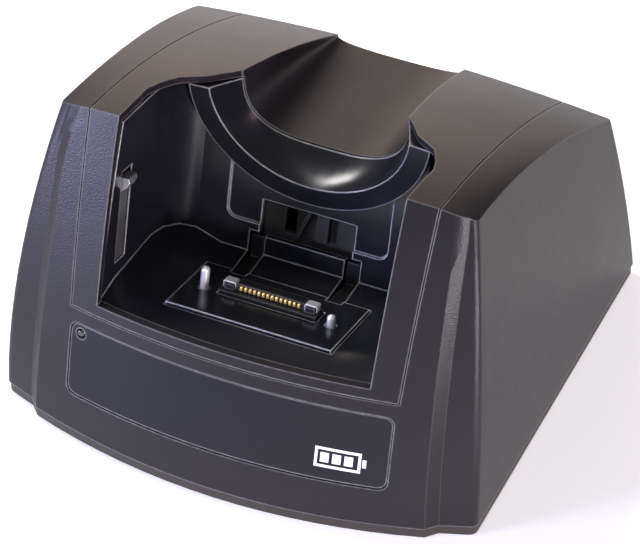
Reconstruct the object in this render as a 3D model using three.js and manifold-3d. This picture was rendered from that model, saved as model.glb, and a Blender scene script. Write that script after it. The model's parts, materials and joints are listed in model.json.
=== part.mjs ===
// A desktop charging and communication cradle for a handheld terminal.
// Millimetres, +Z up, +X to the right of the front, +Y to the rear, desk at Z = 0.
import * as THREE from 'three';
import { mergeVertices } from 'three/addons/utils/BufferGeometryUtils.js';
import Module from 'manifold-3d';

const wasm = await Module();
wasm.setup();

// ---------------------------------------------------------------- driving dimensions
const GAP = 0.35;                    // clearance between neighbouring pieces
const WALL = 2.6;                    // thickness of the outer skins
const LINER_WALL = 2;                // thickness of the pocket liner

const FORM = {
  footZ: 4, shoulderZ: 98, ceilingZ: 112,
  footHalfWidth: 75.3, shoulderHalfWidth: 64, sideBulge: 2.4, rearTaper: 4,
  frontCornerY: -53, frontLean: 22, frontCurve: 1.6,
  footBowRadius: 194, shoulderBowRadius: 340,
  footStep: 2.3, shoulderStep: 1.5, footStepX: 62.2, shoulderStepX: 59.2, stepWidth: 3,
  rearFootY: 73.4, rearLeanPerMm: 0.13, cornerRadius: 1.8,
};
const CROWN = {
  frontY: -34, frontZ: 103.2, slope: 0.154, curve: 0.00206, across: 0.00093,
  shoulderX: 53, shoulderDrop: 0.0117, shoulderRearY: 30,
};
const ORIGIN_SHIFT_Y = -1.7;         // from the drawing's datum to the middle of the footprint

const SEAM = { lowZ: 43.7, lowX: 51.5, flare: 0.0409, rearZ: 54, rearY: 40 };
const LIP_Z = 47.2;
const MOUTH = { lowX: 42.7, flare: 0.0243 };
const EARS = [[44.2, -15.8], [42.8, -10.5], [39.7, -4.4], [33, 0.2], [26.4, 9.5]];

// The saddle and the flared throat below it: stations along Y of one U-shaped section.
const THROAT_FRONT = { y: -2.5, halfWidth: 31.5, topZ: 96, depth: 30, power: 2 };
const SADDLE_FRONT = { y: 10, halfWidth: 26, topZ: 91, depth: 19.4, power: 3 };
const SADDLE_REAR = { y: 62, halfWidth: 21, topZ: 68.2, depth: 3.8, power: 2.6 };
const THROAT_RIM = 6.5;              // thickness of the throat's front flange

const DOCK = { y: -30.7, z: 43.2, lean: THREE.MathUtils.degToRad(14) };
const POCKET = { halfWidth: 43.4, rearV: 24.6, sideRise: 6, rearRise: 2.2, rim: -0.6 };
const PLATE = { halfWidth: 26, halfDepth: 14.2, thick: 3.4, flange: 1.9, flangeThick: 1.6 };
const PINS = { x: 20.1, v: -0.7 };
const CONTACTS = { count: 14, pitch: 1.4, width: 0.8 };
const HOUSING = { halfWidth: 15.3, frontV: -1.2, rearV: 4.8, tongueV: 1.2, tongueHalf: 10.6, height: 3.4 };
const ARM = { x: 15.3, halfWidth: 2 };
const WINDOW = { halfWidth: 14.9, low: 7.5, high: 19 };
const LABEL = { halfWidth: 50.5, low: 16.5, high: 39.2, radius: 2.6, thick: 0.5, recess: 0.95 };
const LIGHT = { x: -47.2, z: 36.4, radius: 1.3 };
const FEET = { x: 60, frontY: -42, rearY: 60, radius: 6.5, height: 1.8 };
const SCREWS = { x: 68.6, frontY: -30, rearY: 42 };
const BASE = { inset: 0.4, lowZ: 0.5, highZ: 3.6 };
const JACK_Z = 22;

// ---------------------------------------------------------------- materials
function plastic(color, roughness) {
  return new THREE.MeshStandardMaterial({ color, roughness, metalness: 0 });
}
function metal(color, roughness) {
  return new THREE.MeshStandardMaterial({ color, roughness, metalness: 1 });
}
const finish = {
  shell: plastic(0x3a3a42, 0.45), bezel: plastic(0x37343a, 0.4), liner: plastic(0x16171c, 0.12),
  base: plastic(0x241d1b, 0.6), label: plastic(0x3a3a44, 0.3), light: plastic(0x1c2a1e, 0.1),
  plate: plastic(0x1f2229, 0.2), housing: plastic(0x131418, 0.35), rubber: plastic(0x161616, 0.9),
  board: plastic(0x1d4a2c, 0.5), ribbon: plastic(0x8a5a1e, 0.4), yoke: plastic(0x0d0d10, 0.5),
  steel: metal(0xb9bbbe, 0.3), nickel: metal(0xd9d8d2, 0.2), gold: metal(0xd4a64a, 0.25),
  iron: metal(0x6c6d70, 0.55),
};

// ---------------------------------------------------------------- solids
const mix = (a, b, t) => a + (b - a) * t;

function bufferOf(points, triangles) {
  const geometry = new THREE.BufferGeometry();
  geometry.setAttribute('position', new THREE.Float32BufferAttribute(points.flat(), 3));
  geometry.setIndex(triangles.flat());
  return geometry;
}

function toSolid(geometry) {
  const bare = geometry.clone();
  bare.deleteAttribute('normal');
  bare.deleteAttribute('uv');
  const merged = mergeVertices(bare, 1e-4);
  const shape = new wasm.Manifold(new wasm.Mesh({
    numProp: 3,
    vertProperties: new Float32Array(merged.attributes.position.array),
    triVerts: new Uint32Array(merged.index.array),
  }));
  return shape;
}

function toGeometry(shape) {
  const mesh = shape.getMesh();
  const geometry = new THREE.BufferGeometry();
  geometry.setAttribute('position', new THREE.Float32BufferAttribute(mesh.vertProperties, 3));
  geometry.setIndex(Array.from(mesh.triVerts));
  return geometry;
}

function volumeSign(points, triangles) {
  let total = 0;
  for (const [a, b, c] of triangles) {
    const [p, q, r] = [points[a], points[b], points[c]].map((xyz) => new THREE.Vector3(...xyz));
    total += p.dot(q.cross(r));
  }
  return Math.sign(total);
}

// Joins rings of equal length into a closed solid; the end rings are capped flat.
// flat gives the two coordinates, 0 to 2, that the end rings are drawn in.
function loft(rings, flat = [0, 1]) {
  const count = rings[0].length;
  const points = rings.flat();
  const triangles = [];
  for (let row = 0; row < rings.length - 1; row += 1) {
    for (let i = 0; i < count; i += 1) {
      const next = (i + 1) % count;
      const [a, b] = [row * count + i, row * count + next];
      const [c, d] = [a + count, b + count];
      triangles.push([a, b, d], [a, d, c]);
    }
  }
  const ends = [[rings[0], 0, true], [rings.at(-1), (rings.length - 1) * count, false]];
  for (const [ring, offset, reversed] of ends) {
    const outline = ring.map((p) => new THREE.Vector2(p[flat[0]], p[flat[1]]));
    const clockwise = THREE.ShapeUtils.isClockWise(outline);
    const order = outline.map((_, i) => (clockwise ? count - 1 - i : i));
    const faces = THREE.ShapeUtils.triangulateShape(order.map((i) => outline[i]), []);
    for (const face of faces) {
      const [a, b, c] = face.map((i) => order[i] + offset);
      triangles.push(reversed !== clockwise ? [a, c, b] : [a, b, c]);
    }
  }
  if (volumeSign(points, triangles) < 0) {
    triangles.forEach((face) => face.reverse());
  }
  return bufferOf(points, triangles);
}

// Fills the space between a height function and a flat ceiling.
function field(xs, ys, heightAt, ceiling) {
  const points = [];
  const triangles = [];
  for (const level of [0, 1]) {
    for (const y of ys) {
      for (const x of xs) points.push([x, y, level ? ceiling : heightAt(x, y)]);
    }
  }
  const [across, along] = [xs.length, ys.length];
  const top = across * along;
  const quad = (a, b, c, d) => triangles.push([a, b, c], [a, c, d]);
  for (let j = 0; j < along - 1; j += 1) {
    for (let i = 0; i < across - 1; i += 1) {
      const a = j * across + i;
      quad(a, a + across, a + across + 1, a + 1);
      quad(top + a, top + a + 1, top + a + across + 1, top + a + across);
    }
  }
  const rim = [];
  for (let i = 0; i < across - 1; i += 1) rim.push(i);
  for (let j = 0; j < along - 1; j += 1) rim.push(j * across + across - 1);
  for (let i = across - 1; i > 0; i -= 1) rim.push((along - 1) * across + i);
  for (let j = along - 1; j > 0; j -= 1) rim.push(j * across);
  rim.forEach((a, i) => {
    const b = rim[(i + 1) % rim.length];
    quad(a, b, top + b, top + a);
  });
  return bufferOf(points, triangles);
}

function steps(from, to, count) {
  return Array.from({ length: count + 1 }, (_, i) => mix(from, to, i / count));
}

function box(x0, x1, y0, y1, z0, z1) {
  const geometry = new THREE.BoxGeometry(x1 - x0, y1 - y0, z1 - z0);
  return geometry.translate((x0 + x1) / 2, (y0 + y1) / 2, (z0 + z1) / 2);
}

function post(x, y, z0, z1, radius, sides = 20) {
  const geometry = new THREE.CylinderGeometry(radius, radius, z1 - z0, sides);
  return geometry.rotateX(Math.PI / 2).translate(x, y, (z0 + z1) / 2);
}

function turned(profile, x, y, sides = 20) {
  const geometry = new THREE.LatheGeometry(profile.map(([r, z]) => new THREE.Vector2(r, z)), sides);
  return geometry.rotateX(Math.PI / 2).translate(x, y, 0);
}

const join = (...shapes) => shapes.reduce((sum, shape) => sum.add(shape));
const cut = (shape, ...tools) => tools.reduce((rest, tool) => rest.subtract(tool), shape);
const both = (a, b) => a.intersect(b);
const boxSolid = (...limits) => toSolid(box(...limits));
const postSolid = (...sizes) => toSolid(post(...sizes));

function roundedOutline(halfWidth, low, high, radius, arc = 4) {
  const corners = [[1, low, -90], [1, high, 0], [-1, high, 90], [-1, low, 180]];
  return corners.flatMap(([side, end, start]) => steps(start, start + 90, arc).map((angle) => {
    const turn = THREE.MathUtils.degToRad(angle);
    const centre = end === low ? low + radius : high - radius;
    return [side * (halfWidth - radius) + radius * Math.cos(turn), centre + radius * Math.sin(turn)];
  }));
}

// ---------------------------------------------------------------- the outer form
function formAt(z) {
  const t = (z - FORM.footZ) / (FORM.shoulderZ - FORM.footZ);
  const lean = Math.sign(t) * Math.abs(t) ** FORM.frontCurve;
  const bulge = 4 * FORM.sideBulge * t * (1 - t);
  return {
    rise: t,
    halfWidth: mix(FORM.footHalfWidth, FORM.shoulderHalfWidth, t) + bulge,
    frontY: FORM.frontCornerY + FORM.frontLean * lean,
    bowRadius: mix(FORM.footBowRadius, FORM.shoulderBowRadius, t),
    step: mix(FORM.footStep, FORM.shoulderStep, t),
    stepX: mix(FORM.footStepX, FORM.shoulderStepX, t),
    rearY: FORM.rearFootY - FORM.rearLeanPerMm * (z - FORM.footZ),
  };
}

function frontAt(x, z) {
  const form = formAt(z);
  const bow = (form.halfWidth ** 2 - x * x) / (2 * form.bowRadius);
  const proud = THREE.MathUtils.clamp((form.stepX + FORM.stepWidth - Math.abs(x)) / FORM.stepWidth, 0, 1);
  return form.frontY - bow - form.step * proud;
}

// One level outline of the form, drawn inwards by inset, anticlockwise from the front left.
function outline(z, inset) {
  const form = formAt(z);
  const half = form.halfWidth - inset;
  const rear = form.rearY - inset;
  const rearHalf = half - FORM.rearTaper * Math.max(form.rise, 0);
  const radius = FORM.cornerRadius;
  const stepX = Math.min(form.stepX - inset * 0.4, half - radius - 5);
  const frontX = [
    ...steps(-half + radius, -stepX - FORM.stepWidth, 2), ...steps(-stepX, stepX, 16),
    ...steps(stepX + FORM.stepWidth, half - radius, 2),
  ];
  const toFormX = (x) => x + Math.sign(x) * (Math.abs(x) >= stepX - 0.01 ? inset * 0.4 : 0);
  const front = frontX.map((x) => [x, frontAt(toFormX(x), z) + inset]);
  const frontCorner = [half, frontAt(form.halfWidth, z) + inset];
  const corner = (from, apex, to) => [0.25, 0.5, 0.75].map((t) => apex.map((value, i) => (
    (1 - t) ** 2 * from[i] + 2 * t * (1 - t) * value + t * t * to[i])));
  const sideAt = (y) => mix(half, rearHalf, (y - frontCorner[1]) / (rear - frontCorner[1]));
  const sideY = steps(frontCorner[1] + radius, rear - radius, 8);
  const side = sideY.map((y) => [sideAt(y), y]);
  const rearX = steps(rearHalf - radius, -rearHalf + radius, 6);
  const right = [
    ...corner(front.at(-1), frontCorner, side[0]), ...side,
    ...corner(side.at(-1), [rearHalf, rear], [rearX[0], rear]),
  ];
  const left = right.map(([x, y]) => [-x, y]).reverse();
  return [...front, ...right, ...rearX.map((x) => [x, rear]), ...left];
}

function crownAt(x, y) {
  const run = y - CROWN.frontY;
  const fade = THREE.MathUtils.clamp((CROWN.shoulderRearY - y) / (CROWN.shoulderRearY - CROWN.frontY), 0, 1);
  const shoulder = CROWN.shoulderDrop * Math.max(Math.abs(x) - CROWN.shoulderX, 0) ** 2 * fade;
  return CROWN.frontZ - CROWN.slope * run - CROWN.curve * run * run - CROWN.across * x * x - shoulder;
}

function outerForm(inset, floorZ = FORM.footZ) {
  const levels = [floorZ, ...steps(12, 100, 11), FORM.ceilingZ];
  const body = toSolid(loft(levels.map((z) => outline(z, inset).map(([x, y]) => [x, y, z]))));
  const sky = field(steps(-90, 90, 30), steps(-100, 100, 24), (x, y) => crownAt(x, y) - inset, 160);
  return cut(body, toSolid(sky));
}

// ---------------------------------------------------------------- seams, mouth and saddle
function wedge(lowX, flare, lowZ, highZ, y0, y1) {
  const topX = lowX + flare * (highZ - lowZ);
  const face = [[-lowX, lowZ], [lowX, lowZ], [topX, highZ], [-topX, highZ]];
  return toSolid(loft([y0, y1].map((y) => face.map(([x, z]) => [x, y, z])), [0, 2]));
}

function centreRegion(shrink) {
  const seamX = (z) => SEAM.lowX + SEAM.flare * (z - SEAM.lowZ) - shrink;
  const low = SEAM.lowZ + shrink;
  const rear = SEAM.rearZ + shrink;
  return join(
    wedge(seamX(low), SEAM.flare, low, 160, -110, SEAM.rearY),
    wedge(seamX(rear), SEAM.flare, rear, 160, SEAM.rearY - 1, 110),
  );
}

function sectionAt(station, grow) {
  const arc = steps(0, Math.PI, 32).map((turn) => {
    const bend = (value) => Math.sign(value) * Math.abs(value) ** (2 / station.power);
    const x = (station.halfWidth + grow) * bend(Math.cos(turn));
    return [x, station.y, station.topZ - (station.depth + grow) * Math.abs(bend(Math.sin(turn)))];
  });
  const edge = station.halfWidth + grow;
  return [...arc, [-edge, station.y, 160], [edge, station.y, 160]];
}

function between(a, b, t) {
  return Object.fromEntries(Object.keys(a).map((key) => [key, mix(a[key], b[key], t)]));
}

function saddleSpace(grow) {
  const stations = steps(-0.02, 1.35, 14).map((t) => between(SADDLE_FRONT, SADDLE_REAR, t));
  return toSolid(loft(stations.map((station) => sectionAt(station, grow)), [0, 2]));
}

// The throat drops faster near its rim, which makes the band below the saddle concave.
function throatSpace(grow, tail = 0) {
  const stations = steps(-0.35, 1 + tail, 10).map((t) => {
    const station = between(THROAT_FRONT, SADDLE_FRONT, t);
    const ease = Math.max(t, 0) ** 1.5 - Math.max(t, 0);
    station.depth += (SADDLE_FRONT.depth - THROAT_FRONT.depth) * ease * 0.6;
    return station;
  });
  return toSolid(loft(stations.map((station) => sectionAt(station, grow)), [0, 2]));
}

function mouthSpace() {
  const plan = [...EARS, [-0.01, 9.5]].map(([x, y]) => [Math.max(x, 0), y]);
  const right = [[44.2, -20], ...plan.slice(0, -1)];
  const loop = [...right, ...right.map(([x, y]) => [-x, y]).reverse()];
  const ears = toSolid(loft([60, 160].map((z) => loop.map(([x, y]) => [x, y, z]))));
  return join(wedge(MOUTH.lowX, MOUTH.flare, LIP_Z, 160, -110, -18), ears);
}

// ---------------------------------------------------------------- the dock frame
const dock = new THREE.Group();
dock.position.set(0, DOCK.y, DOCK.z);
dock.rotation.x = -DOCK.lean;
dock.updateMatrixWorld(true);
const inDock = (geometry) => toSolid(geometry.applyMatrix4(dock.matrixWorld));

function pocketFloor(x, v) {
  const { rim, sideRise, rearRise, halfWidth, rearV } = POCKET;
  const [edgeX, edgeV] = [PLATE.halfWidth + GAP, PLATE.halfDepth + GAP];
  const aside = THREE.MathUtils.clamp((Math.abs(x) - edgeX) / (halfWidth - edgeX), 0, 1.2);
  const behind = THREE.MathUtils.clamp((v - edgeV) / (rearV - edgeV), 0, 1.2);
  const ahead = Math.min(v + edgeV, 0) * Math.tan(DOCK.lean);
  const along = THREE.MathUtils.clamp((v + 26) / 40, 0, 1);
  return rim + ahead + aside * sideRise * along + behind * rearRise * (1 - aside * 0.4);
}

function pocketSpace(grow) {
  const half = POCKET.halfWidth + grow;
  const rear = POCKET.rearV + grow;
  const edgeX = PLATE.halfWidth + GAP;
  const xs = [-half, ...steps(-POCKET.halfWidth, -edgeX, 4), ...steps(edgeX, POCKET.halfWidth, 4), half];
  const vs = [-60, ...steps(-26, 14, 6), POCKET.rearV, POCKET.rearV + 4];
  const acrossX = grow ? xs : xs.slice(1, -1);
  const hollow = inDock(field(acrossX, vs, (x, v) => pocketFloor(x, v) - grow, 90));
  const right = [[half, -60], [half, 11], [half - 1.2, 17], [half - 4.2, 22], [half - 8.4, rear]];
  const loop = [...right, ...right.map(([x, v]) => [-x, v]).reverse()];
  const plan = inDock(loft([-40, 95].map((n) => loop.map(([x, v]) => [x, v, n]))));
  return both(hollow, plan);
}

// ---------------------------------------------------------------- the scene graph
const group = new THREE.Group();
group.position.y = ORIGIN_SHIFT_Y;
group.add(dock);

function add(parent, name, shape, material) {
  const geometry = shape.isBufferGeometry ? shape : toGeometry(shape);
  const flat = geometry.index ? geometry : mergeVertices(geometry);
  flat.deleteAttribute('uv');
  flat.computeVertexNormals();
  const mesh = new THREE.Mesh(flat, material);
  mesh.name = name;
  parent.add(mesh);
}

const sides = [['left', -1], ['right', 1]];
const formWhole = outerForm(0);
const skinSpace = outerForm(WALL, FORM.footZ - 3);

// ---- casing -------------------------------------------------------------------------
function labelPrism(grow, y0, y1) {
  const face = roundedOutline(LABEL.halfWidth + grow, LABEL.low - grow, LABEL.high + grow, LABEL.radius);
  return toSolid(loft([y0, y1].map((y) => face.map(([x, z]) => [x, y, z])), [0, 2]));
}

function sleeve(x, z, radius, y0, y1, sidesCount = 20) {
  const geometry = new THREE.CylinderGeometry(radius, radius, y1 - y0, sidesCount);
  return toSolid(geometry.translate(x, (y0 + y1) / 2, z));
}

const jackCuts = () => [
  sleeve(-34, JACK_Z, 5.6, 60, 90, 28),
  boxSolid(-7.4, 7.4, 60, 90, JACK_Z - 7, JACK_Z + 7),
  boxSolid(18.4, 51.6, 60, 90, JACK_Z - 7.4, JACK_Z + 7.4),
];

function outerShell() {
  const screwPosts = sides.flatMap(([, side]) => [SCREWS.frontY, SCREWS.rearY].map((y) => (
    postSolid(side * SCREWS.x, y, FORM.footZ + 0.3, 24, 4.2))));
  const bosses = both(join(...screwPosts), outerForm(1));
  const holes = sides.flatMap(([, side]) => [SCREWS.frontY, SCREWS.rearY].map((y) => (
    postSolid(side * SCREWS.x, y, 0, 15, 1.75, 16))));
  const labelRecess = both(labelPrism(GAP, -90, -30), cut(outerForm(-2, 6), outerForm(LABEL.recess, 5)));
  const lightHole = sleeve(LIGHT.x, LIGHT.z, LIGHT.radius + GAP, -90, -30);
  const skin = cut(formWhole, skinSpace, centreRegion(0), labelRecess, lightHole, ...jackCuts());
  return cut(join(skin, bosses), ...holes);
}

function centreBezel() {
  const region = centreRegion(GAP);
  const skin = cut(both(formWhole, region), skinSpace);
  const trough = both(both(both(saddleSpace(WALL), formWhole), region), boxSolid(-60, 60, 10.3, 90, 50, 130));
  return cut(join(cut(skin, mouthSpace()), trough), saddleSpace(0));
}

add(group, 'outer_shell', outerShell(), finish.shell);
add(group, 'centre_bezel', centreBezel(), finish.bezel);

function labelPanel() {
  const leaf = cut(outerForm(0.3, 5), outerForm(0.3 + LABEL.thick, 4));
  return cut(both(leaf, labelPrism(0, -90, -30)), sleeve(LIGHT.x, LIGHT.z, LIGHT.radius + GAP, -90, -30));
}
add(group, 'label_panel', labelPanel(), finish.label);

function statusLight() {
  const frontY = frontAt(LIGHT.x, LIGHT.z);
  const lens = new THREE.LatheGeometry([
    [0, 0], [LIGHT.radius * 0.7, 0.1], [LIGHT.radius, 0.5], [LIGHT.radius, 7],
    [LIGHT.radius + 1.2, 7], [LIGHT.radius + 1.2, 8.5], [0, 8.5],
  ].map(([r, y]) => new THREE.Vector2(r, y)), 20);
  return lens.translate(LIGHT.x, frontY + 0.25, LIGHT.z);
}
add(group, 'status_light', statusLight(), finish.light);

// ---- pocket liner -------------------------------------------------------------------
function springSlot(side) {
  const [a, b] = [side * (POCKET.halfWidth - 1), side * (POCKET.halfWidth + 4)];
  return inDock(box(Math.min(a, b), Math.max(a, b), -13.2, -6.8, 6.6, 36));
}

function linerRecess() {
  const face = roundedOutline(25.6, 11, 40, 3);
  return inDock(loft([POCKET.rearV - 2, POCKET.rearV + 0.9].map((v) => face.map(([x, n]) => [x, v, n])), [0, 2]));
}

// Ties the sill between the two arm slots to the floor on either side of them.
function armBridge() {
  const [v0, v1] = [17, 24];
  const legs = sides.flatMap(([, side]) => [[10.4, 12.7], [17.9, 20.2]].map(([near, far]) => {
    const xs = [side * near, side * far].sort((a, b) => a - b);
    return inDock(box(xs[0], xs[1], v0, v1, -8.5, 0.2));
  }));
  return join(inDock(box(-20.2, 20.2, v0, v1, -8.5, -6.1)), ...legs);
}

function pocketLiner() {
  const inside = outerForm(WALL + GAP, 20);
  const tub = join(both(pocketSpace(LINER_WALL), inside), armBridge());
  const rimBlock = both(both(throatSpace(THROAT_RIM), inside), boxSolid(-60, 60, THROAT_FRONT.y, 9.7, 50, 130));
  const hollow = pocketSpace(0);
  const wall = cut(tub, hollow, linerRecess());
  const plateHole = inDock(box(
    -PLATE.halfWidth - GAP, PLATE.halfWidth + GAP, -PLATE.halfDepth - GAP, PLATE.halfDepth + GAP, -20, 6));
  const window = inDock(box(-WINDOW.halfWidth, WINDOW.halfWidth, 20, 34, WINDOW.low, WINDOW.high));
  const armSlots = sides.map(([, side]) => inDock(box(
    side * ARM.x - ARM.halfWidth - 0.5, side * ARM.x + ARM.halfWidth + 0.5, 12, 34, -6.1, WINDOW.low + 1)));
  const walls = cut(join(wall, rimBlock), throatSpace(0, 0.2), boxSolid(-60, 60, 9.7, 90, 20, 130));
  return cut(walls, plateHole, window, ...armSlots, ...sides.map(([, side]) => springSlot(side)));
}
add(group, 'pocket_liner', pocketLiner(), finish.liner);

for (const [name, side] of sides) {
  const inner = side * POCKET.halfWidth;
  const profile = [
    [0.5, 7], [1.5, 7], [1.5, 34], [-1.7, 34], [-2.2, 32.8], [-1.4, 31], [0.5, 29.5],
  ].map(([out, n]) => [inner + side * out - side * 0.2, n]);
  const leaf = loft([-12.6, -7.4].map((v) => profile.map(([x, n]) => [x, v, n])), [0, 2]);
  add(dock, `side_spring_${name}`, leaf, finish.steel);
}

// ---- floating connector plate -------------------------------------------------------
function connectorPlate() {
  const { halfWidth, halfDepth, thick, flange, flangeThick } = PLATE;
  const slab = boxSolid(-halfWidth, halfWidth, -halfDepth, halfDepth, -thick, 0);
  const rim = boxSolid(
    -halfWidth - flange, halfWidth + flange, -halfDepth - flange, halfDepth + flange,
    -thick - flangeThick, -thick);
  const slot = boxSolid(
    -HOUSING.halfWidth - GAP, HOUSING.halfWidth + GAP, HOUSING.frontV - GAP, HOUSING.rearV + GAP, -9, 3);
  const pinHole = postSolid(-PINS.x, PINS.v, -9, 3, 1.3 + GAP);
  const plungerHole = postSolid(PINS.x, PINS.v, -9, 3, 1.3 + GAP);
  const notches = sides.map(([, side]) => boxSolid(
    side * ARM.x - ARM.halfWidth - GAP, side * ARM.x + ARM.halfWidth + GAP, 12.2, 20, -9, 3));
  return cut(join(slab, rim), slot, pinHole, plungerHole, ...notches);
}
add(dock, 'connector_plate', connectorPlate(), finish.plate);

function contactX(index) {
  return (index - (CONTACTS.count - 1) / 2) * CONTACTS.pitch;
}

function connectorHousing() {
  const { halfWidth, frontV, rearV, tongueV, tongueHalf, height } = HOUSING;
  const block = boxSolid(-halfWidth, halfWidth, frontV, rearV, -8.5, 1.2);
  const tongue = boxSolid(-tongueHalf, tongueHalf, tongueV, rearV, 1, height);
  const towers = sides.map(([, side]) => {
    const xs = [side * (tongueHalf + 0.6), side * (halfWidth - 1)].sort((a, b) => a - b);
    return boxSolid(xs[0], xs[1], 0.4, rearV - 0.6, 1, height - 0.6);
  });
  const grooves = Array.from({ length: CONTACTS.count }, (_, i) => boxSolid(
    contactX(i) - CONTACTS.width / 2 - 0.15, contactX(i) + CONTACTS.width / 2 + 0.15,
    tongueV - 1, tongueV + 1.3, 1.2, height - 0.4));
  return cut(join(block, tongue, ...towers), ...grooves);
}
add(dock, 'connector_housing', connectorHousing(), finish.housing);

for (let i = 0; i < CONTACTS.count; i += 1) {
  const x = contactX(i);
  const { tongueV, height } = HOUSING;
  const bent = [
    [tongueV + 0.7, 1.35], [tongueV + 0.7, height - 0.5], [tongueV + 0.2, height - 0.5],
    [tongueV - 0.55, height - 0.8], [tongueV - 0.55, 1.6], [tongueV, 1.35],
  ];
  const strip = loft([-1, 1].map((side) => bent.map(([v, n]) => [x + side * CONTACTS.width / 2, v, n])), [1, 2]);
  add(dock, `contact_${String(i + 1).padStart(2, '0')}`, strip, finish.gold);
}

for (const [name, side] of sides) {
  const near = HOUSING.tongueHalf + 0.25;
  const far = HOUSING.halfWidth - 0.7;
  const top = HOUSING.height;
  const saddle = [
    [near, 1.5], [near, top - 0.2], [near + 0.5, top + 0.2], [far - 0.2, top + 0.2], [far + 0.3, top - 0.2],
    [far + 0.3, 1.5], [far, 1.5], [far, top - 0.3], [near + 0.3, top - 0.3], [near + 0.3, 1.5],
  ].map(([x, n]) => [side * x, n]);
  const clip = loft([0.8, HOUSING.rearV - 1].map((v) => saddle.map(([x, n]) => [x, v, n])), [0, 2]);
  add(dock, `shield_clip_${name}`, clip, finish.nickel);
}

const guidePin = [
  [0, -7.2], [2.6, -7.2], [2.6, -5.4], [1.3, -5.4], [1.3, 5.7], [1.13, 6.4], [0.7, 6.9], [0, 7.1],
];
add(dock, 'guide_pin', turned(guidePin, -PINS.x, PINS.v), finish.nickel);
const plunger = [
  [0, -8], [2.1, -8], [2.1, -5.4], [1.3, -5.4], [1.3, 2.4], [1.12, 3], [0.6, 3.4], [0, 3.5],
];
add(dock, 'detect_plunger', turned(plunger, PINS.x, PINS.v), finish.nickel);

function plateYoke() {
  const arms = sides.map(([, side]) => {
    const [a, b] = [side * ARM.x - ARM.halfWidth, side * ARM.x + ARM.halfWidth];
    return join(
      boxSolid(a, b, 12.6, 28, -3.2, -0.4),
      boxSolid(a, b, 25.4, 28, -3.2, WINDOW.low - 0.6),
    );
  });
  const bar = boxSolid(-ARM.x, ARM.x, 27.2, 29.4, -0.6, 3.2);
  return join(...arms, bar);
}
add(dock, 'plate_yoke', plateYoke(), finish.yoke);

// ---- what carries the plate ---------------------------------------------------------
function floatTray() {
  const [halfX, halfV] = [31.5, 19.8];
  const floor = boxSolid(-halfX, halfX, -halfV, halfV, -13, -11);
  const ledges = sides.map(([, side]) => {
    const xs = [side * halfX, side * (halfX - 2)].sort((a, b) => a - b);
    return boxSolid(xs[0], xs[1], -14.5, halfV, -11.5, -3.4);
  });
  const well = boxSolid(-18, 18, -7, 11, -20, -5);
  const drops = sides.map(([, side]) => postSolid(side * PINS.x, PINS.v, -20, -5, 3.4));
  return cut(join(floor, ...ledges), well, ...drops);
}
add(dock, 'float_tray', floatTray(), finish.housing);

class Helix extends THREE.Curve {
  constructor(radius, low, high, turns) {
    super();
    Object.assign(this, { radius, low, high, turns });
  }

  getPoint(t, target = new THREE.Vector3()) {
    const turn = t * this.turns * Math.PI * 2;
    return target.set(this.radius * Math.cos(turn), this.radius * Math.sin(turn), mix(this.low, this.high, t));
  }
}

function coil(x, v, low, high) {
  const wire = new THREE.Shape(steps(0, 300, 5).map((angle) => {
    const turn = THREE.MathUtils.degToRad(angle);
    return new THREE.Vector2(0.3 * Math.cos(turn), 0.3 * Math.sin(turn));
  }));
  const path = new Helix(2.3, low, high, 3.5);
  const geometry = new THREE.ExtrudeGeometry(wire, { steps: 42, extrudePath: path, bevelEnabled: false });
  return geometry.translate(x, v, 0);
}

let springNumber = 0;
for (const [, side] of sides) {
  for (const v of [-10, 10]) {
    springNumber += 1;
    const spring = toSolid(coil(side * 22.6, v, -10.3, -5.7));
    add(dock, `float_spring_${springNumber}`, spring, finish.steel);
  }
}

function windowBracket() {
  const [v0, v1] = [30, 32];
  const panel = boxSolid(-20, 20, v0, v1, 4, 23);
  const left = boxSolid(-9, -5.5, v0 - 1, v1 + 1, 8, 18);
  const ribFace = [[-5, 7.8], [-3.6, 7.8], [0.4, 18.6], [-1, 18.6]];
  const rib = toSolid(loft([v0 - 2.2, v0 + 0.5].map((v) => ribFace.map(([x, n]) => [x, v, n])), [0, 2]));
  const block = boxSolid(1.6, 5.6, v0 - 2.4, v0 + 0.5, 9, 18.2);
  return join(cut(panel, left), rib, block);
}
add(dock, 'window_bracket', windowBracket(), finish.iron);

// ---- base and electronics -----------------------------------------------------------
function basePlate() {
  const ring = (z) => outline(FORM.footZ, BASE.inset).map(([x, y]) => [x, y, z]);
  const plate = toSolid(loft([ring(BASE.lowZ), ring(BASE.highZ)]));
  const standoffs = [-44, 44].flatMap((x) => [8, 58].map((y) => postSolid(x, y, BASE.highZ - 0.5, 12, 3)));
  const footCups = feetPlaces().map(([x, y]) => postSolid(x, y, 0, 2.3, FEET.radius + GAP, 28));
  const screwHoles = screwPlaces().flatMap(([x, y]) => [
    postSolid(x, y, 0, 6, 1.75, 16), postSolid(x, y, 0, 2.6, 3.2, 20),
  ]);
  return cut(join(plate, ...standoffs), ...footCups, ...screwHoles);
}

function feetPlaces() {
  return [FEET.frontY, FEET.rearY].flatMap((y) => sides.map(([, side]) => [side * (FEET.x - (y > 0 ? 4 : 2)), y]));
}

function screwPlaces() {
  return [SCREWS.frontY, SCREWS.rearY].flatMap((y) => sides.map(([, side]) => [side * SCREWS.x, y]));
}
add(group, 'base_plate', basePlate(), finish.base);

feetPlaces().forEach(([x, y], i) => {
  const foot = [[0, 0], [FEET.radius - 0.5, 0], [FEET.radius, 0.5], [FEET.radius, FEET.height], [0, FEET.height]];
  add(group, `foot_${i + 1}`, turned(foot, x, y, 28), finish.rubber);
});

screwPlaces().forEach(([x, y], i) => {
  const screw = [
    [0, 1.6], [0.7, 1.2], [2.4, 1.2], [2.8, 1.6], [2.8, 2.25], [1.4, 2.25], [1.4, 13.2], [0, 14.2],
  ];
  add(group, `base_screw_${i + 1}`, turned(screw, x, y, 16), finish.steel);
});

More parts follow.
